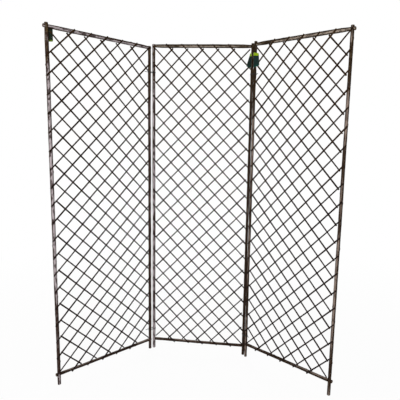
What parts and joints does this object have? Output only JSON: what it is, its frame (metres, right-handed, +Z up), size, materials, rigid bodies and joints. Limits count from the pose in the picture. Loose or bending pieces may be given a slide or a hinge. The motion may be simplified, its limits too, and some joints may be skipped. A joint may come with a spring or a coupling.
{
  "type": "folding screen",
  "caption": "Three-panel folding screen of round willow poles with a crossed lattice of thin rods, the panels tied at their edges by wire loops.",
  "frame": {"origin": "on the floor, in the middle of the whole screen as it stands in the picture", "axes": "+X to the screen's right, +Y towards its back, +Z up; the centre panel lies along X"},
  "size_m": [1.4368, 0.488, 1.83],
  "materials": {
    "pole_bark": "dried bark, matt, with grey worn streaks",
    "rod_bark": "thin dark bark, matt to slightly waxy",
    "tie_wire": "dark annealed wire",
    "nail_steel": "dull wire nail"
  },
  "bodies": {
    "centre_panel": {"centre_left_stile": "pole_bark", "centre_right_stile": "pole_bark", "centre_bottom_rail": "pole_bark", "centre_top_rail": "pole_bark", "centre_face_rods": "rod_bark", "centre_back_rods": "rod_bark", "centre_corner_nails": "nail_steel"},
    "left_ties": {"left_top_wire": "tie_wire", "left_bottom_wire": "tie_wire"},
    "left_wing": {"left_outer_stile": "pole_bark", "left_hinge_stile": "pole_bark", "left_bottom_rail": "pole_bark", "left_top_rail": "pole_bark", "left_face_rods": "rod_bark", "left_back_rods": "rod_bark", "left_corner_nails": "nail_steel"},
    "right_ties": {"right_top_wire": "tie_wire", "right_bottom_wire": "tie_wire"},
    "right_wing": {"right_hinge_stile": "pole_bark", "right_outer_stile": "pole_bark", "right_bottom_rail": "pole_bark", "right_top_rail": "pole_bark", "right_face_rods": "rod_bark", "right_back_rods": "rod_bark", "right_corner_nails": "nail_steel"}
  },
  "joints": [
    {"name": "left_ties_turn", "type": "hinge", "parent": "centre_panel", "child": "left_ties", "pos_m": [-0.33831, 0.2335, 0], "axis": [0, 0, 1], "range_deg": [-68.5, 26.5]},
    {"name": "left_wing_turn", "type": "hinge", "parent": "left_ties", "child": "left_wing", "pos_m": [-0.3588, 0.2175, 0], "axis": [0, 0, 1], "range_deg": [-68.5, 26.5]},
    {"name": "right_ties_turn", "type": "hinge", "parent": "centre_panel", "child": "right_ties", "pos_m": [0.22069, 0.2335, 0], "axis": [0, 0, -1], "range_deg": [-102, 35.5]},
    {"name": "right_wing_turn", "type": "hinge", "parent": "right_ties", "child": "right_wing", "pos_m": [0.23809, 0.21418, 0], "axis": [0, 0, -1], "range_deg": [-102, 35.5]}
  ]
}
